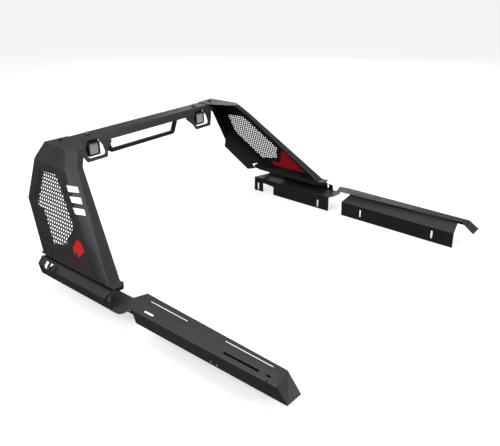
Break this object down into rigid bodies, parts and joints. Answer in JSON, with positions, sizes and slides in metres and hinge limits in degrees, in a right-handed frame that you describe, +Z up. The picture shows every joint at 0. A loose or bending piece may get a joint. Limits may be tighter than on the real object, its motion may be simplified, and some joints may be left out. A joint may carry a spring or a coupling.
{
  "type": "truck bed headache rack",
  "caption": "Pickup-bed headache rack in black powder-coated sheet: folded side wings with mesh windows, crossbar with tilting work lamps, and slotted bed-rail covers",
  "frame": {"origin": "centre of the bounding box in X and Y, at the height of the inner flanges' lowest edges", "axes": "+Z up, +Y towards the cab, +X to the right-hand side seen from the tailgate"},
  "size_m": [1.76, 1.6926, 0.6257],
  "materials": {
    "powder_coat": "fine-textured matte black powder coat on folded steel sheet",
    "red_paint": "satin red paint on thin steel sheet",
    "black_aluminium": "black-coated cast aluminium",
    "clear_lens": "clear moulded lens",
    "bright_reflector": "vacuum-metallised reflector",
    "zinc_steel": "bright zinc-plated steel",
    "black_oxide": "black oxide steel"
  },
  "bodies": {
    "crossbar": {"crossbar_channel": "powder_coat", "centre_loop_rail": "powder_coat", "clamp_bolt_right": "black_oxide", "lamp_right_window_bracket": "powder_coat", "lamp_right_yoke": "black_oxide", "lamp_right_stud": "zinc_steel", "lamp_right_washer": "black_aluminium", "clamp_bolt_left": "black_oxide", "lamp_left_window_bracket": "powder_coat", "lamp_left_yoke": "black_oxide", "lamp_left_stud": "zinc_steel", "lamp_left_washer": "black_aluminium"},
    "wing_right": {"wing_right_shell": "powder_coat", "wing_right_mesh": "powder_coat", "wing_right_backing": "red_paint", "wing_right_foot_plate": "powder_coat", "wing_right_base_bracket": "powder_coat", "wing_right_foot_bolt_front": "black_oxide", "wing_right_foot_bolt_rear": "black_oxide"},
    "rail_right": {"rail_right_cover": "powder_coat", "rail_right_flange": "powder_coat", "rail_right_end_cap": "powder_coat"},
    "lamp_right": {"lamp_right_housing": "black_aluminium", "lamp_right_reflector": "bright_reflector", "lamp_right_lens": "clear_lens", "lamp_right_bezel": "black_aluminium", "lamp_right_pivot_outer": "zinc_steel", "lamp_right_pivot_inner": "zinc_steel"},
    "wing_left": {"wing_left_shell": "powder_coat", "wing_left_mesh": "powder_coat", "wing_left_backing": "red_paint", "wing_left_foot_plate": "powder_coat", "wing_left_base_bracket": "powder_coat", "wing_left_foot_bolt_front": "black_oxide", "wing_left_foot_bolt_rear": "black_oxide"},
    "rail_left": {"rail_left_cover": "powder_coat", "rail_left_flange": "powder_coat", "rail_left_end_cap": "powder_coat"},
    "lamp_left": {"lamp_left_housing": "black_aluminium", "lamp_left_reflector": "bright_reflector", "lamp_left_lens": "clear_lens", "lamp_left_bezel": "black_aluminium", "lamp_left_pivot_outer": "zinc_steel", "lamp_left_pivot_inner": "zinc_steel"}
  },
  "joints": [
    {"name": "wing_right_width", "type": "slide", "parent": "crossbar", "child": "wing_right", "axis": [1, 0, 0], "range_m": [-0.012, 0.012]},
    {"name": "rail_right_spacing", "type": "slide", "parent": "wing_right", "child": "rail_right", "axis": [0, -1, 0], "range_m": [-0.006, 0.03]},
    {"name": "lamp_right_tilt", "type": "hinge", "parent": "crossbar", "child": "lamp_right", "pos_m": [0.39, 0.769, 0.54], "axis": [1, 0, 0], "range_deg": [-15, 15]},
    {"name": "wing_left_width", "type": "slide", "parent": "crossbar", "child": "wing_left", "axis": [-1, 0, 0], "range_m": [-0.012, 0.012]},
    {"name": "rail_left_spacing", "type": "slide", "parent": "wing_left", "child": "rail_left", "axis": [0, -1, 0], "range_m": [-0.006, 0.03]},
    {"name": "lamp_left_tilt", "type": "hinge", "parent": "crossbar", "child": "lamp_left", "pos_m": [-0.39, 0.769, 0.54], "axis": [1, 0, 0], "range_deg": [-15, 15]}
  ]
}
